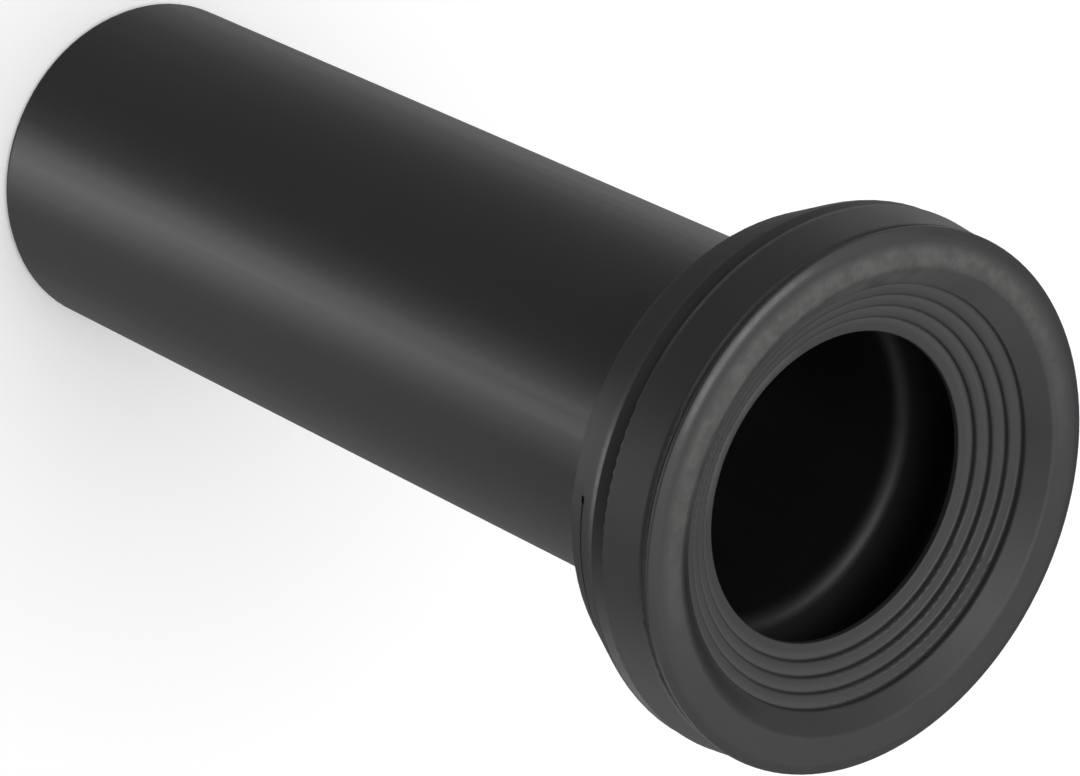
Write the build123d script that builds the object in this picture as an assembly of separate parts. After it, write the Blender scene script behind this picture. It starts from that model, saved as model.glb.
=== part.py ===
# Straight connector between a wall-hung toilet pan and a 90 mm soil pipe.
# It is two pieces: a plastic pipe with a cup moulded on its upper end, and the
# rubber lip seal that is pulled over the lip of that cup.
# It stands on its spigot end. Z runs up the pipe to the open seal, in millimetres.
# A depth is measured down from the rim plane, the level of the seal's flange.

import os

from build123d import *

# Pipe
pipe_diameter = 90.0
pipe_wall = 3.5
spigot_lead_in = 1.0
spigot_lead_in_length = 2.0
rim_height = 300.0

# Cup on the upper end of the pipe
cup_depth = 35.5
cup_dish = 4.6
cup_floor = 4.2
cup_bore_radius = 61.2
cup_lip_wall = 4.4
cup_lip_edge = 0.5
cup_lip_rise = 1.7
cup_shoulder_rise = 2.0
cup_shoulder_slope = 3.0
cup_shoulder_edge = 0.5
cup_band_length = 1.5
cup_band_taper = 0.3
cup_band_blend = 9.0
cup_flank_taper = 6.8
cup_back_edge = 2.4
pipe_to_cup_fillet = 3.0
cup_floor_fillet = 5.0
pipe_mouth_edge = 5.0

# Bead round the cup's lip that keeps the seal on
bead_height = 0.8
bead_depth = 10.0
bead_width = 2.8
bead_land = 1.2

# Short groove in the cup's flank, with a wider pocket at its first end
groove_depth = 27.0
groove_width = 1.1
groove_cut = 0.9
groove_start = -66.0
groove_sweep = 44.0
pocket_width = 2.0
pocket_sweep = 1.6

# Seal: skirt over the cup, flange in front of it
seal_over_lip = 2.6
skirt_length = 15.4
skirt_gap = 0.5
skirt_wall = 2.6
skirt_flare = 1.4
skirt_front_slope = 0.3
skirt_front_edge = 1.2
skirt_back_edge = 0.9
neck_cut = 1.3
neck_front_depth = 0.8
neck_width = 1.2
flange_wall = 2.9
flange_front = 0.5
flange_back_depth = 0.5
flange_front_edge = 0.5
flange_back_edge = 0.35
rim_width = 2.4
rim_rise = 0.8
rim_blend = 3.0
face_width = 7.4
face_rise = 0.3
face_inner_edge = 1.6

# Seal: stepped membrane round the opening
cone_width = 5.3
cone_drop = 4.3
step_count = 4
step_pitch = 3.4
step_drop = 2.1
riser_height = 1.9
lip_width = 4.0
lip_drop = 0.3
membrane_wall = 1.8
cone_edge = 0.9
step_edge = 0.8
step_root = 0.6
lip_edge = 0.4

# Seal: short leg inside the cup
leg_wall = 2.6
leg_depth = 11.0
leg_root_depth = 3.4
leg_taper = 0.5
leg_tip_edge = 0.9

# Sizes of the pipe and the cup that follow from the ones above
pipe_radius = pipe_diameter / 2
bore_radius = pipe_radius - pipe_wall
cup_lip_radius = cup_bore_radius + cup_lip_wall
slope_radius = cup_lip_radius + cup_lip_rise
cup_shoulder_radius = slope_radius + cup_shoulder_rise
band_end_radius = cup_shoulder_radius - cup_band_taper
cup_back_radius = band_end_radius - cup_flank_taper
slope_depth = skirt_length + skirt_gap
shoulder_depth = slope_depth + cup_shoulder_slope
band_end_depth = shoulder_depth + cup_band_length
cup_floor_depth = cup_depth - cup_floor

# Sizes of the seal that follow from the ones above
skirt_front_radius = cup_lip_radius + skirt_wall
skirt_back_radius = skirt_front_radius + skirt_flare
neck_radius = skirt_front_radius - neck_cut
neck_back_depth = neck_front_depth + neck_width
flange_radius = cup_lip_radius + flange_wall
face_outer_radius = flange_radius - rim_width
face_inner_radius = face_outer_radius - face_width
face_front = flange_front + rim_rise
face_inner_front = face_front + face_rise
first_step_radius = face_inner_radius - cone_width
first_step_depth = cone_drop - face_inner_front
last_step_radius = first_step_radius - step_pitch * (step_count - 1)
last_step_depth = first_step_depth + step_drop * (step_count - 1)
opening_radius = last_step_radius - lip_width
lip_depth = last_step_depth + riser_height + lip_drop
leg_inner_radius = cup_bore_radius - leg_wall


def turned(corners):
    """Solid turned round the Z axis from (radius, depth, corner radius) rows."""
    points = [(radius, 0, rim_height - depth) for radius, depth, edge in corners]
    outline = FilletPolyline(*points, radius=[edge for radius, depth, edge in corners], close=True)
    return revolve(make_face(outline), Axis.Z)


def bead_corners():
    """Corners of the retaining bead, from its upper end down the cup's lip."""
    slope = (bead_width - bead_land) / 2
    crest = cup_lip_radius + bead_height
    return [
        (cup_lip_radius, bead_depth, 0),
        (crest, bead_depth + slope, 0),
        (crest, bead_depth + bead_width - slope, 0),
        (cup_lip_radius, bead_depth + bead_width, 0),
    ]


def arc_cut(radius, depth, width, cut, start, sweep):
    """Ring segment that cuts into a wall from its outside, starting at an angle in degrees."""
    section = Plane.XZ * Pos(radius, rim_height - depth) * Rectangle(2 * cut, width)
    return Rot(0, 0, start) * revolve(section, Axis.Z, revolution_arc=sweep)


def flank_radius(depth):
    """Radius of the cup's tapering flank at a depth."""
    slope = (band_end_radius - cup_back_radius) / (cup_depth - band_end_depth)
    return band_end_radius - slope * (depth - band_end_depth)


def make_connector_pipe():
    """Pipe with the cup, as one moulding."""
    corners = [
        (bore_radius, rim_height, 0),
        (pipe_radius - spigot_lead_in, rim_height, 0),
        (pipe_radius, rim_height - spigot_lead_in_length, 0),
        (pipe_radius, cup_depth + cup_dish, pipe_to_cup_fillet),
        (cup_back_radius, cup_depth, cup_back_edge),
        (band_end_radius, band_end_depth, cup_band_blend),
        (cup_shoulder_radius, shoulder_depth, cup_shoulder_edge),
        (slope_radius, slope_depth, 0),
        (cup_lip_radius, slope_depth, 0),
        *reversed(bead_corners()),
        (cup_lip_radius, seal_over_lip + cup_lip_edge, 0),
        (cup_lip_radius - cup_lip_edge, seal_over_lip, 0),
        (cup_bore_radius + cup_lip_edge, seal_over_lip, 0),
        (cup_bore_radius, seal_over_lip + cup_lip_edge, 0),
        (cup_bore_radius, cup_floor_depth, cup_floor_fillet),
        (bore_radius, cup_floor_depth + cup_dish, pipe_mouth_edge),
    ]
    wall = flank_radius(groove_depth)
    groove = arc_cut(wall, groove_depth, groove_width, groove_cut, groove_start, groove_sweep)
    pocket = arc_cut(wall, groove_depth, pocket_width, groove_cut, groove_start, pocket_sweep)
    return turned(corners) - groove - pocket


def membrane_front():
    """Corners of the membrane's front, from the flange's face in to the opening."""
    corners = []
    for step in range(step_count):
        radius = first_step_radius - step_pitch * step
        depth = first_step_depth + step_drop * step
        corners.append((radius, depth, cone_edge if step == 0 else step_edge))
        corners.append((radius, depth + riser_height, step_root))
    corners.append((opening_radius, lip_depth, lip_edge))
    return corners


def membrane_back():
    """Corners of the membrane's back, from the opening out to the leg."""
    corners = [(opening_radius, lip_depth + membrane_wall, lip_edge)]
    for step in reversed(range(step_count)):
        radius = first_step_radius - step_pitch * step + membrane_wall
        depth = first_step_depth + step_drop * step + membrane_wall
        corners.append((radius, depth + riser_height, 0))
        corners.append((radius, depth, 0))
    return corners


def make_lip_seal():
    """Seal, with its skirt, flange, stepped membrane and the leg inside the cup."""
    corners = [
        (cup_lip_radius, skirt_length, 0),
        (skirt_back_radius, skirt_length, skirt_back_edge),
        (skirt_front_radius, neck_back_depth + skirt_front_slope, skirt_front_edge),
        (neck_radius, neck_back_depth, 0),
        (neck_radius, neck_front_depth, 0),
        (flange_radius, flange_back_depth, flange_back_edge),
        (flange_radius, -flange_front, flange_front_edge),
        (face_outer_radius, -face_front, rim_blend),
        (face_inner_radius, -face_inner_front, face_inner_edge),
        *membrane_front(),
        *membrane_back(),
        (leg_inner_radius, leg_root_depth, 0),
        (leg_inner_radius + leg_taper, leg_depth, leg_tip_edge),
        (cup_bore_radius, leg_depth, 0),
        (cup_bore_radius, seal_over_lip, 0),
        (cup_lip_radius, seal_over_lip, 0),
        *bead_corners(),
    ]
    return turned(corners)


os.makedirs("parts", exist_ok=True)
export_step(make_connector_pipe(), "parts/connector_pipe.step")
export_step(make_lip_seal(), "parts/lip_seal.step")
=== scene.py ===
import math

import bpy
from mathutils import Matrix, Vector

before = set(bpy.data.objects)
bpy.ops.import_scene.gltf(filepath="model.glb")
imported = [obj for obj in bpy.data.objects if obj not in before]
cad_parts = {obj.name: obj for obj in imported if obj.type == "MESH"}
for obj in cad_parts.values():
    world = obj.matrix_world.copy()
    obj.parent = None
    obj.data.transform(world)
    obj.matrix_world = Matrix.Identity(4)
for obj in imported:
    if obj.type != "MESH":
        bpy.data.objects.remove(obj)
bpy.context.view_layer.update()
print("frame loaded:", ", ".join(sorted(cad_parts)))

white = (1, 1, 1, 1)
nodeRow = 260  # between two rows of a node tree


# small helpers for node trees

def addNode(tree, kind, place, **settings):
    node = tree.nodes.new(kind)
    node.location = place
    for name, value in settings.items():
        setattr(node, name, value)
    return node


def newGroup(name, inputs, outputs):
    group = bpy.data.node_groups.new(name, "ShaderNodeTree")
    for label, kind, value in inputs:
        socket = group.interface.new_socket(label, in_out="INPUT", socket_type=kind)
        if value is not None:
            socket.default_value = value
    for label, kind in outputs:
        group.interface.new_socket(label, in_out="OUTPUT", socket_type=kind)
    start = addNode(group, "NodeGroupInput", (-900, 0))
    end = addNode(group, "NodeGroupOutput", (700, 0))
    return group, start, end


def useGroup(tree, group, place, **values):
    node = addNode(tree, "ShaderNodeGroup", place, node_tree=group)
    for label, value in values.items():
        node.inputs[label].default_value = value
    return node


def mathNode(tree, operation, place, first, second=None, clamp=False):
    node = addNode(tree, "ShaderNodeMath", place, operation=operation, use_clamp=clamp)
    for socket, value in zip(node.inputs, (first, second)):
        if value is None:
            continue
        if isinstance(value, (int, float)):
            socket.default_value = value
        else:
            tree.links.new(value, socket)
    return node.outputs[0]


def makeMaterial(name):
    material = bpy.data.materials.new(name)
    material.use_nodes = True
    tree = material.node_tree
    return material, tree, tree.nodes["Principled BSDF"]


# shared effects

def makeGrainGroup():
    # fine moulded texture, as a height
    fineDetail = 3.0
    wideDetail = 1.0
    wideScaleShare = 0.12
    group, start, end = newGroup(
        "mouldedGrain",
        [("Vector", "NodeSocketVector", None), ("Scale", "NodeSocketFloat", 900.0),
         ("Coarse", "NodeSocketFloat", 0.35)],
        [("Height", "NodeSocketFloat")])
    fine = addNode(group, "ShaderNodeTexNoise", (-600, 150))
    fine.inputs["Detail"].default_value = fineDetail
    wide = addNode(group, "ShaderNodeTexNoise", (-600, -150))
    wide.inputs["Detail"].default_value = wideDetail
    wideScale = mathNode(group, "MULTIPLY", (-760, -150), start.outputs["Scale"], wideScaleShare)
    group.links.new(start.outputs["Vector"], fine.inputs["Vector"])
    group.links.new(start.outputs["Vector"], wide.inputs["Vector"])
    group.links.new(start.outputs["Scale"], fine.inputs["Scale"])
    group.links.new(wideScale, wide.inputs["Scale"])
    wideShare = mathNode(group, "MULTIPLY", (-300, -150), wide.outputs["Fac"], start.outputs["Coarse"])
    height = mathNode(group, "ADD", (0, 0), fine.outputs["Fac"], wideShare)
    group.links.new(height, end.inputs["Height"])
    return group


def makeBloomGroup():
    # soft pale patches, as a mask from 0 to 1
    patchDetail = 5.0
    patchRoughness = 0.62
    group, start, end = newGroup(
        "paleBloom",
        [("Vector", "NodeSocketVector", None), ("Scale", "NodeSocketFloat", 60.0),
         ("Cover", "NodeSocketFloat", 0.5), ("Softness", "NodeSocketFloat", 0.2)],
        [("Mask", "NodeSocketFloat")])
    patches = addNode(group, "ShaderNodeTexNoise", (-600, 100))
    patches.inputs["Detail"].default_value = patchDetail
    patches.inputs["Roughness"].default_value = patchRoughness
    group.links.new(start.outputs["Vector"], patches.inputs["Vector"])
    group.links.new(start.outputs["Scale"], patches.inputs["Scale"])
    middle = mathNode(group, "SUBTRACT", (-400, -150), 1.0, start.outputs["Cover"])
    low = mathNode(group, "SUBTRACT", (-200, -120), middle, start.outputs["Softness"])
    high = mathNode(group, "ADD", (-200, -260), middle, start.outputs["Softness"])
    spread = addNode(group, "ShaderNodeMapRange", (100, 0), interpolation_type="SMOOTHSTEP")
    group.links.new(patches.outputs["Fac"], spread.inputs["Value"])
    group.links.new(low, spread.inputs["From Min"])
    group.links.new(high, spread.inputs["From Max"])
    group.links.new(spread.outputs["Result"], end.inputs["Mask"])
    return group


def makeBandGroup():
    # 1 between two levels of a value and one half at them, fading out over a set width
    group, start, end = newGroup(
        "softBand",
        [("Value", "NodeSocketFloat", 0.0), ("From", "NodeSocketFloat", 0.0),
         ("To", "NodeSocketFloat", 1.0), ("Fade", "NodeSocketFloat", 0.1)],
        [("Mask", "NodeSocketFloat")])
    rise = mathNode(group, "DIVIDE", (-400, 100), mathNode(
        group, "SUBTRACT", (-600, 100), start.outputs["Value"], start.outputs["From"]), start.outputs["Fade"])
    fall = mathNode(group, "DIVIDE", (-400, -100), mathNode(
        group, "SUBTRACT", (-600, -100), start.outputs["To"], start.outputs["Value"]), start.outputs["Fade"])
    risen = mathNode(group, "ADD", (-200, 100), rise, 0.5, clamp=True)
    fallen = mathNode(group, "ADD", (-200, -100), fall, 0.5, clamp=True)
    both = mathNode(group, "MULTIPLY", (0, 0), risen, fallen)
    group.links.new(both, end.inputs["Mask"])
    return group


def makeTurnedGroup():
    # distance from the pipe's axis and height, from object coordinates
    group, start, end = newGroup(
        "turnedPlace",
        [("Vector", "NodeSocketVector", None)],
        [("Radius", "NodeSocketFloat"), ("Height", "NodeSocketFloat")])
    split = addNode(group, "ShaderNodeSeparateXYZ", (-600, 0))
    group.links.new(start.outputs["Vector"], split.inputs["Vector"])
    flat = addNode(group, "ShaderNodeCombineXYZ", (-400, 100))
    group.links.new(split.outputs["X"], flat.inputs["X"])
    group.links.new(split.outputs["Y"], flat.inputs["Y"])
    radius = addNode(group, "ShaderNodeVectorMath", (-200, 100), operation="LENGTH")
    group.links.new(flat.outputs["Vector"], radius.inputs[0])
    group.links.new(radius.outputs["Value"], end.inputs["Radius"])
    group.links.new(split.outputs["Z"], end.inputs["Height"])
    return group


def makeSideGroup():
    # rises to 1 towards one side of the axis, between two cosines of the angle from that side
    group, start, end = newGroup(
        "oneSide",
        [("Vector", "NodeSocketVector", None), ("Side", "NodeSocketVector", None),
         ("Start", "NodeSocketFloat", 0.0), ("Full", "NodeSocketFloat", 1.0)],
        [("Mask", "NodeSocketFloat")])
    flat = addNode(group, "ShaderNodeVectorMath", (-650, 0), operation="MULTIPLY")
    flat.inputs[1].default_value = (1, 1, 0)
    group.links.new(start.outputs["Vector"], flat.inputs[0])
    wayOut = addNode(group, "ShaderNodeVectorMath", (-450, 0), operation="NORMALIZE")
    group.links.new(flat.outputs["Vector"], wayOut.inputs[0])
    turned = addNode(group, "ShaderNodeVectorMath", (-250, 0), operation="DOT_PRODUCT")
    group.links.new(wayOut.outputs["Vector"], turned.inputs[0])
    group.links.new(start.outputs["Side"], turned.inputs[1])
    share = addNode(group, "ShaderNodeMapRange", (0, 0), interpolation_type="SMOOTHSTEP")
    group.links.new(turned.outputs["Value"], share.inputs["Value"])
    group.links.new(start.outputs["Start"], share.inputs["From Min"])
    group.links.new(start.outputs["Full"], share.inputs["From Max"])
    group.links.new(share.outputs["Result"], end.inputs["Mask"])
    return group


def makePanelGroup():
    # a soft box seen from the object, 1 in its middle and 0 outside it
    group, start, end = newGroup(
        "softPanel",
        [("Direction", "NodeSocketVector", None), ("Middle", "NodeSocketVector", None),
         ("Across", "NodeSocketVector", None), ("Outer", "NodeSocketFloat", 0.8),
         ("Inner", "NodeSocketFloat", 0.9), ("Width", "NodeSocketFloat", 1.0),
         ("Fade", "NodeSocketFloat", 0.1)],
        [("Mask", "NodeSocketFloat")])
    near = addNode(group, "ShaderNodeVectorMath", (-650, 150), operation="DOT_PRODUCT")
    group.links.new(start.outputs["Direction"], near.inputs[0])
    group.links.new(start.outputs["Middle"], near.inputs[1])
    spot = addNode(group, "ShaderNodeMapRange", (-400, 150), interpolation_type="SMOOTHSTEP")
    group.links.new(near.outputs["Value"], spot.inputs["Value"])
    group.links.new(start.outputs["Outer"], spot.inputs["From Min"])
    group.links.new(start.outputs["Inner"], spot.inputs["From Max"])
    aside = addNode(group, "ShaderNodeVectorMath", (-650, -150), operation="DOT_PRODUCT")
    group.links.new(start.outputs["Direction"], aside.inputs[0])
    group.links.new(start.outputs["Across"], aside.inputs[1])
    distance = mathNode(group, "ABSOLUTE", (-500, -150), aside.outputs["Value"])
    edge = mathNode(group, "ADD", (-500, -300), start.outputs["Width"], start.outputs["Fade"])
    narrow = addNode(group, "ShaderNodeMapRange", (-250, -150), interpolation_type="SMOOTHSTEP")
    group.links.new(distance, narrow.inputs["Value"])
    group.links.new(edge, narrow.inputs["From Min"])
    group.links.new(start.outputs["Width"], narrow.inputs["From Max"])
    both = mathNode(group, "MULTIPLY", (0, 0), spot.outputs["Result"], narrow.outputs["Result"])
    group.links.new(both, end.inputs["Mask"])
    return group


grainGroup = makeGrainGroup()
bloomGroup = makeBloomGroup()
bandGroup = makeBandGroup()
turnedGroup = makeTurnedGroup()
sideGroup = makeSideGroup()
panelGroup = makePanelGroup()
print("effects ready")


# parts of a material that both pieces use

def addTurned(tree, place):
    turned = useGroup(tree, turnedGroup, (-1400, 300))
    tree.links.new(place.outputs["Object"], turned.inputs["Vector"])
    return turned


def addPatches(tree, place, corner, patches):
    spread = useGroup(tree, bloomGroup, corner, Scale=patches["scale"], Cover=patches["cover"],
                      Softness=patches["softness"])
    tree.links.new(place.outputs["Object"], spread.inputs["Vector"])
    return spread.outputs["Mask"]


def addArea(tree, place, turned, down, area):
    # mask of a band of radii, kept to a band of heights and to one side of the axis where they are given
    ring = useGroup(tree, bandGroup, (-1100, down), From=area["radius"][0], To=area["radius"][1],
                    Fade=area["radiusFade"])
    tree.links.new(turned.outputs["Radius"], ring.inputs["Value"])
    mask = ring.outputs["Mask"]
    if "height" in area:
        level = useGroup(tree, bandGroup, (-1100, down - nodeRow / 2), From=area["height"][0],
                         To=area["height"][1], Fade=area["heightFade"])
        tree.links.new(turned.outputs["Height"], level.inputs["Value"])
        mask = mathNode(tree, "MULTIPLY", (-700, down), mask, level.outputs["Mask"])
    if "side" in area:
        side = useGroup(tree, sideGroup, (-900, down), Side=area["side"], Start=area["start"],
                        Full=area["full"])
        tree.links.new(place.outputs["Object"], side.inputs["Vector"])
        mask = mathNode(tree, "MULTIPLY", (-550, down), mask, side.outputs["Mask"])
    return mask


def addGrain(tree, place, surface, settings):
    grain = useGroup(tree, grainGroup, (-900, -800), Scale=settings["grainScale"],
                     Coarse=settings["grainCoarse"])
    tree.links.new(place.outputs["Object"], grain.inputs["Vector"])
    bump = addNode(tree, "ShaderNodeBump", (-300, -600))
    bump.inputs["Strength"].default_value = settings["grainStrength"]
    bump.inputs["Distance"].default_value = settings["grainDepth"]
    tree.links.new(grain.outputs["Height"], bump.inputs["Height"])
    tree.links.new(bump.outputs["Normal"], surface.inputs["Normal"])


def addRoughness(tree, corner, source, settings):
    rough = addNode(tree, "ShaderNodeMapRange", corner)
    rough.inputs["To Min"].default_value = settings["roughness"] - settings["roughnessSpread"] / 2
    rough.inputs["To Max"].default_value = settings["roughness"] + settings["roughnessSpread"] / 2
    tree.links.new(source, rough.inputs["Value"])
    return rough


def mixColours(tree, corner, share, first, second):
    mix = addNode(tree, "ShaderNodeMix", corner, data_type="RGBA")
    for socket, colour in ((mix.inputs["A"], first), (mix.inputs["B"], second)):
        if isinstance(colour, tuple):
            socket.default_value = colour
        else:
            tree.links.new(colour, socket)
    tree.links.new(share, mix.inputs["Factor"])
    return mix.outputs["Result"]


# pipe: black moulded plastic

pipeSettings = {
    "colour": (0.011, 0.011, 0.0113, 1),
    "paleColour": (0.016, 0.0158, 0.0155, 1),
    "paleShare": 0.4,
    "palePatches": {"scale": 45.0, "cover": 0.42, "softness": 0.18},
    # colour of the painted light in the groove and of the painted highlight on the cup's back edge
    "paintedLightColour": (0.11, 0.109, 0.107, 1),
    "edgeHighlightShare": 0.4,
    "roughness": 0.38,
    "roughnessSpread": 0.07,
    "insideRoughness": 0.1,  # added inside the cup
    "streakScale": 260.0,
    "streakDetail": 4.0,
    "streakStretch": 0.015,  # along the pipe
    "streakLow": 0.3,
    "streakHigh": 0.7,
    "grainScale": 1500.0,
    "grainCoarse": 0.5,
    "grainStrength": 0.5,
    "grainDepth": 0.00002,
}

# each area: from and to a radius and a height in metres, and the side of the axis it lies on
pipeAreas = {
    # painted light: a paler colour in the groove, standing in for light reaching its shaded hollow
    "groove": {
        "radius": (0.063, 0.0657), "radiusFade": 0.0002,
        "height": (0.2724, 0.2738), "heightFade": 0.0001,
        "side": (0.719, -0.695, 0), "start": 0.91, "full": 0.93,
    },
    # painted highlight along the lit side of the cup's rounded back edge
    "backEdge": {
        "radius": (0.0606, 0.0628), "radiusFade": 0.0008,
        "height": (0.2638, 0.2662), "heightFade": 0.0008,
        "side": (-0.6, -0.8, 0), "start": 0.78, "full": 0.94,
    },
    "inside": {
        "radius": (-1.0, 0.06), "radiusFade": 0.0005,
        "height": (0.262, 1.0), "heightFade": 0.001,
    },
}


def makePipeMaterial(settings, areas):
    material, tree, surface = makeMaterial("pipePlastic")
    place = addNode(tree, "ShaderNodeTexCoord", (-1700, 0))
    turned = addTurned(tree, place)

    patches = addPatches(tree, place, (-900, 200), settings["palePatches"])
    paleShare = mathNode(tree, "MULTIPLY", (-600, 200), patches, settings["paleShare"])
    plastic = mixColours(tree, (-400, 250), paleShare, settings["colour"], settings["paleColour"])

    # painted light in the cup's groove, lifting the shade in its hollow, and a painted highlight on the lit
    # side of the cup's back edge
    grooveLight = addArea(tree, place, turned, 600, areas["groove"])
    edgeHighlight = mathNode(tree, "MULTIPLY", (-400, 1100), addArea(tree, place, turned, 1100, areas["backEdge"]),
                    settings["edgeHighlightShare"])
    paintedLight = mathNode(tree, "MAXIMUM", (-200, 800), grooveLight, edgeHighlight)
    tree.links.new(mixColours(tree, (-200, 400), paintedLight, plastic, settings["paintedLightColour"]),
                   surface.inputs["Base Color"])

    # faint lines drawn along the pipe
    stretch = addNode(tree, "ShaderNodeMapping", (-1000, -250))
    stretch.inputs["Scale"].default_value = (1, 1, settings["streakStretch"])
    tree.links.new(place.outputs["Object"], stretch.inputs["Vector"])
    streaks = addNode(tree, "ShaderNodeTexNoise", (-800, -250))
    streaks.inputs["Scale"].default_value = settings["streakScale"]
    streaks.inputs["Detail"].default_value = settings["streakDetail"]
    tree.links.new(stretch.outputs["Vector"], streaks.inputs["Vector"])
    rough = addRoughness(tree, (-400, -100), streaks.outputs["Fac"], settings)
    rough.inputs["From Min"].default_value = settings["streakLow"]
    rough.inputs["From Max"].default_value = settings["streakHigh"]

    inside = addArea(tree, place, turned, -450, areas["inside"])
    dull = mathNode(tree, "MULTIPLY", (-350, -350), inside, settings["insideRoughness"])
    dulled = mathNode(tree, "ADD", (-200, 0), rough.outputs["Result"], dull)
    tree.links.new(dulled, surface.inputs["Roughness"])
    addGrain(tree, place, surface, settings)
    return material


# seal: black moulded rubber with a pale bloom, and painted light in the same pale colour: one side of its
# front ring and cone painted paler, painted highlights on its edges, painted light in its hollows

sealSettings = {
    "frontColour": (0.0255, 0.0255, 0.0253, 1),
    "darkColour": (0.0135, 0.0135, 0.0135, 1),
    # pale colour of the bloom, also used for the painted light and the painted highlights
    "bloomAndLightColour": (0.14, 0.138, 0.133, 1),
    "bloomPatches": {"scale": 250.0, "cover": 0.5, "softness": 0.16},
    "hazePatches": {"scale": 70.0, "cover": 0.5, "softness": 0.3},
    "hazeShare": 0.05,
    "roughness": 0.5,
    "roughnessSpread": 0.1,
    "grainScale": 1100.0,
    "grainCoarse": 0.8,
    "grainStrength": 0.5,
    "grainDepth": 0.00004,
}

# darker rubber on the skirt and the flange's edge, and painted shade on one side of the cone
darkAreas = {
    "skirt": {
        "radius": (0.0655, 1.0), "radiusFade": 0.0004,
        "height": (0.0, 0.3003), "heightFade": 0.0005,
    },
    # painted shade: the cone darker on its side away from the light, where shade falls
    "cone": {
        "radius": (0.0546, 0.0575), "radiusFade": 0.0015,
        "side": (0.84, -0.543, 0), "start": 0.84, "full": 0.95,
    },
}

# where the bloom and the painted light lie, their share of the pale colour, and how much of that share is
# even
bloomAndLightAreas = {
    # real mottled bloom on the front ring, and painted light: the side facing the light painted paler
    "ring": {
        "radius": (0.0594, 0.0640), "radiusFade": 0.0026,
        "height": (0.3003, 0.31), "heightFade": 0.001,
        "side": (-0.766, -0.643, 0), "start": -0.6, "full": 0.9,
        "share": 0.54, "even": 0.45,
    },
    # bloom patches on the cone, and painted light: its side facing the light painted paler
    "cone": {
        "radius": (0.0536, 0.0594), "radiusFade": 0.0026,
        "height": (0.29, 0.31), "heightFade": 0.001,
        "side": (-0.5, -0.87, 0), "start": 0.45, "full": 0.85,
        "share": 0.4, "even": 0.4,
    },
    # painted highlight along the lit side of the flange's rounded outer edge
    "rimEdge": {
        "radius": (0.0667, 0.0679), "radiusFade": 0.0006,
        "height": (0.3003, 0.31), "heightFade": 0.0004,
        "side": (-0.3, -0.954, 0), "start": 0.9, "full": 0.985,
        "share": 0.85, "even": 0.6,
    },
    # painted highlight along one side of the lip's edge
    "lip": {
        "radius": (0.0403, 0.0424), "radiusFade": 0.0012,
        "height": (0.28, 0.291), "heightFade": 0.001,
        "side": (-0.1, -0.99, 0), "start": 0.8, "full": 0.96,
        "share": 0.35, "even": 0.6,
    },
    # painted light in the neck groove behind the flange, lifting its shade
    "neck": {
        "radius": (0.065, 0.0677), "radiusFade": 0.0003,
        "height": (0.2978, 0.2994), "heightFade": 0.0002,
        "share": 0.9, "even": 0.8,
    },
    # painted highlight along the lit side of the skirt's back edge
    "skirtBack": {
        "radius": (0.0688, 0.07), "radiusFade": 0.0004,
        "height": (0.284, 0.2861), "heightFade": 0.0006,
        "side": (-0.643, -0.766, 0), "start": 0.8, "full": 0.93,
        "share": 0.35, "even": 0.5,
    },
}

# painted light in the steps' inner corners, all the way round, lifting the shade there; the corners rise
# outwards along one slope
paintedCornerLight = {
    "slope": 0.6176,
    "level": 0.26242,
    "reach": 0.0014,
    "share": 0.25,
    "steps": {"radius": (0.041, 0.0538), "radiusFade": 0.0004},
}


# pale colour for one area of bloom and painted light
def addBloomAndLight(tree, place, turned, patches, down, area):
    there = addArea(tree, place, turned, down, area)
    uneven = mathNode(tree, "MULTIPLY", (-700, down - nodeRow / 2), patches, 1 - area["even"])
    uneven = mathNode(tree, "ADD", (-550, down - nodeRow / 2), uneven, area["even"])
    share = mathNode(tree, "MULTIPLY", (-400, down), there, area["share"])
    return mathNode(tree, "MULTIPLY", (-250, down), share, uneven)


# painted light: a paler colour near the steps' inner corners, lifting their shade
def addPaintedCornerLight(tree, place, turned, settings):
    corners = mathNode(tree, "ADD", (-900, 700), mathNode(
        tree, "MULTIPLY", (-1100, 700), turned.outputs["Radius"], settings["slope"]), settings["level"])
    above = mathNode(tree, "SUBTRACT", (-700, 700), turned.outputs["Height"], corners)
    near = addNode(tree, "ShaderNodeMapRange", (-500, 700), interpolation_type="SMOOTHSTEP")
    near.inputs["From Min"].default_value = settings["reach"]
    near.inputs["From Max"].default_value = 0.0
    near.inputs["To Max"].default_value = settings["share"]
    tree.links.new(above, near.inputs["Value"])
    onSteps = addArea(tree, place, turned, 900, settings["steps"])
    return mathNode(tree, "MULTIPLY", (-300, 700), near.outputs["Result"], onSteps)


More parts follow.
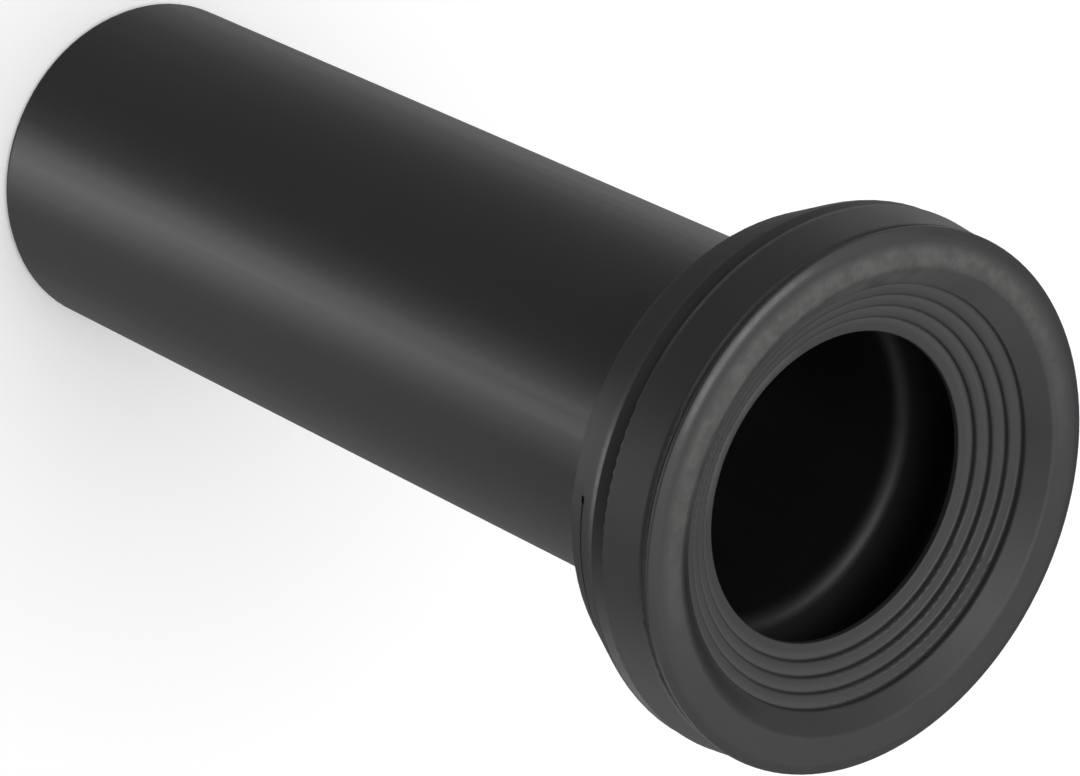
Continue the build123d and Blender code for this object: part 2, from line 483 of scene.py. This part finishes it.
def makeSealMaterial(settings, darkPlaces, bloomAndLightPlaces, corners):
    material, tree, surface = makeMaterial("sealRubber")
    place = addNode(tree, "ShaderNodeTexCoord", (-1700, 0))
    turned = addTurned(tree, place)

    # darker rubber on the skirt, and painted shade on one side of the cone
    dark = 0.0
    for number, area in enumerate(darkPlaces.values()):
        down = 1200 + nodeRow * number
        dark = mathNode(tree, "MAXIMUM", (-300, down), dark, addArea(tree, place, turned, down, area))
    rubber = mixColours(tree, (-100, 600), dark, settings["frontColour"], settings["darkColour"])

    patches = addPatches(tree, place, (-1400, -100), settings["bloomPatches"])
    haze = addPatches(tree, place, (-1400, -300), settings["hazePatches"])
    bloomAndLight = mathNode(tree, "MULTIPLY", (-400, 500), haze, settings["hazeShare"])
    bloomAndLight = mathNode(tree, "ADD", (-250, 500), bloomAndLight, addPaintedCornerLight(tree, place, turned, corners))
    for number, area in enumerate(bloomAndLightPlaces.values()):
        down = -nodeRow * number
        bloomAndLight = mathNode(tree, "ADD", (-100, down), bloomAndLight,
                         addBloomAndLight(tree, place, turned, patches, down, area), clamp=True)
    tree.links.new(mixColours(tree, (100, 250), bloomAndLight, rubber, settings["bloomAndLightColour"]),
                   surface.inputs["Base Color"])

    rough = addRoughness(tree, (100, -100), haze, settings)
    tree.links.new(rough.outputs["Result"], surface.inputs["Roughness"])
    addGrain(tree, place, surface, settings)
    return material


def dressNode(name, material):
    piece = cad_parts[name]
    piece.data.materials.clear()
    piece.data.materials.append(material)


dressNode("connector_pipe", makePipeMaterial(pipeSettings, pipeAreas))
dressNode("lip_seal", makeSealMaterial(sealSettings, darkAreas, bloomAndLightAreas, paintedCornerLight))
print("materials ready")


# floor and studio light

floorSettings = {
    "size": 8.0,
    "colour": (0.82, 0.82, 0.82, 1),
    "roughness": 1.0,
    "specular": 0.0,
    "glow": 0.25,
}


def makeFloor(settings):
    bpy.ops.object.select_all(action="DESELECT")
    bpy.ops.mesh.primitive_plane_add(size=settings["size"], location=(0, 0, 0))
    floor = bpy.context.object
    floor.name = "floor"
    material, tree, surface = makeMaterial("floorWhite")
    surface.inputs["Base Color"].default_value = settings["colour"]
    surface.inputs["Roughness"].default_value = settings["roughness"]
    surface.inputs["Specular IOR Level"].default_value = settings["specular"]
    surface.inputs["Emission Color"].default_value = white
    rays = addNode(tree, "ShaderNodeLightPath", (-600, -200))
    glow = mathNode(tree, "MULTIPLY", (-300, -200), rays.outputs["Is Camera Ray"], settings["glow"])
    tree.links.new(glow, surface.inputs["Emission Strength"])
    floor.data.materials.append(material)
    floor.visible_glossy = False  # the object mirrors the soft boxes below instead
    floor.visible_diffuse = False
    floor.visible_shadow = False


# each soft box: the way to it (azimuth from +X, elevation), its outer and inner half angle, its brightness
# the two shades take light away from the plain level
softBoxes = {
    "overhead": {"azimuth": -145, "elevation": 75, "outer": 34, "inner": 12, "brightness": 2.6},
    "overheadFront": {"azimuth": -110, "elevation": 62, "outer": 28, "inner": 10, "brightness": 0.9},
    "overheadBack": {"azimuth": 90, "elevation": 60, "outer": 28, "inner": 10, "brightness": 1.0},
    "right": {"azimuth": 12, "elevation": -10, "outer": 32, "inner": 12, "brightness": 1.4},
    "rightBack": {"azimuth": 30, "elevation": 7, "outer": 28, "inner": 10, "brightness": 1.0},
    "rightFront": {"azimuth": -10, "elevation": 14, "outer": 28, "inner": 10, "brightness": 0.8},
    "backLeft": {"azimuth": 140, "elevation": -18, "outer": 40, "inner": 12, "brightness": 0.5},
    "left": {"azimuth": 178, "elevation": -5, "outer": 40, "inner": 14, "brightness": 0.3},
    "strip": {"azimuth": -55, "elevation": -52, "outer": 36, "inner": 22, "brightness": 2.2,
              "across": (0.92, 0.34, 0.195), "width": 0.08, "fade": 0.14},
    "lowRight": {"azimuth": -18, "elevation": -46, "outer": 20, "inner": 4, "brightness": 0.2},
    "shadeBelow": {"azimuth": 90, "elevation": -72, "outer": 30, "inner": 8, "brightness": -0.22},
    "shadeBack": {"azimuth": 109, "elevation": -6, "outer": 24, "inner": 8, "brightness": -0.24},
}

worldSettings = {
    "level": 0.29,  # plain light from all round
}


def wayTo(azimuth, elevation):
    azimuth, elevation = math.radians(azimuth), math.radians(elevation)
    return Vector((math.cos(azimuth) * math.cos(elevation),
                   math.sin(azimuth) * math.cos(elevation), math.sin(elevation)))


def makeWorld(settings, boxes):
    world = bpy.data.worlds.new("studio")
    world.use_nodes = True
    bpy.context.scene.world = world
    tree = world.node_tree
    background = tree.nodes["Background"]
    background.inputs["Color"].default_value = white
    place = addNode(tree, "ShaderNodeTexCoord", (-1300, 0))
    total = settings["level"]
    for number, box in enumerate(boxes.values()):
        down = -nodeRow * number
        panel = useGroup(
            tree, panelGroup, (-900, down),
            Middle=wayTo(box["azimuth"], box["elevation"]), Across=box.get("across", (0, 0, 0)),
            Outer=math.cos(math.radians(box["outer"])), Inner=math.cos(math.radians(box["inner"])),
            Width=box.get("width", 1.0), Fade=box.get("fade", 0.1))
        tree.links.new(place.outputs["Generated"], panel.inputs["Direction"])
        light = mathNode(tree, "MULTIPLY", (-700, down), panel.outputs["Mask"], box["brightness"])
        total = mathNode(tree, "ADD", (-500, down), total, light)
    rays = addNode(tree, "ShaderNodeLightPath", (-500, 400))
    shown = mathNode(tree, "MAXIMUM", (-250, 0), total, rays.outputs["Is Camera Ray"])
    tree.links.new(shown, background.inputs["Strength"])


makeFloor(floorSettings)
makeWorld(worldSettings, softBoxes)
print("studio ready")


# camera: the photograph's viewing angle, turned on its side as the photograph shows the pipe lying

cameraSettings = {
    "place": (0.0, -1.0154, 1.2379),
    "heading": -0.505,
    "elevation": 46.132,
    "roll": 115.524,
    "lens": 193.9,
    "sensorWidth": 36.0,
}


def makeCamera(settings):
    data = bpy.data.cameras.new("photoCamera")
    camera = bpy.data.objects.new("photoCamera", data)
    bpy.context.scene.collection.objects.link(camera)
    data.lens = settings["lens"]
    data.sensor_width = settings["sensorWidth"]
    turn = Matrix.Rotation(math.radians(settings["heading"]), 4, "Z")
    tilt = Matrix.Rotation(math.radians(90 - settings["elevation"]), 4, "X")
    roll = Matrix.Rotation(math.radians(settings["roll"]), 4, "Z")
    camera.matrix_world = Matrix.Translation(settings["place"]) @ turn @ tilt @ roll
    bpy.context.scene.camera = camera


makeCamera(cameraSettings)
bpy.context.scene.view_settings.view_transform = "Standard"
print("camera ready")
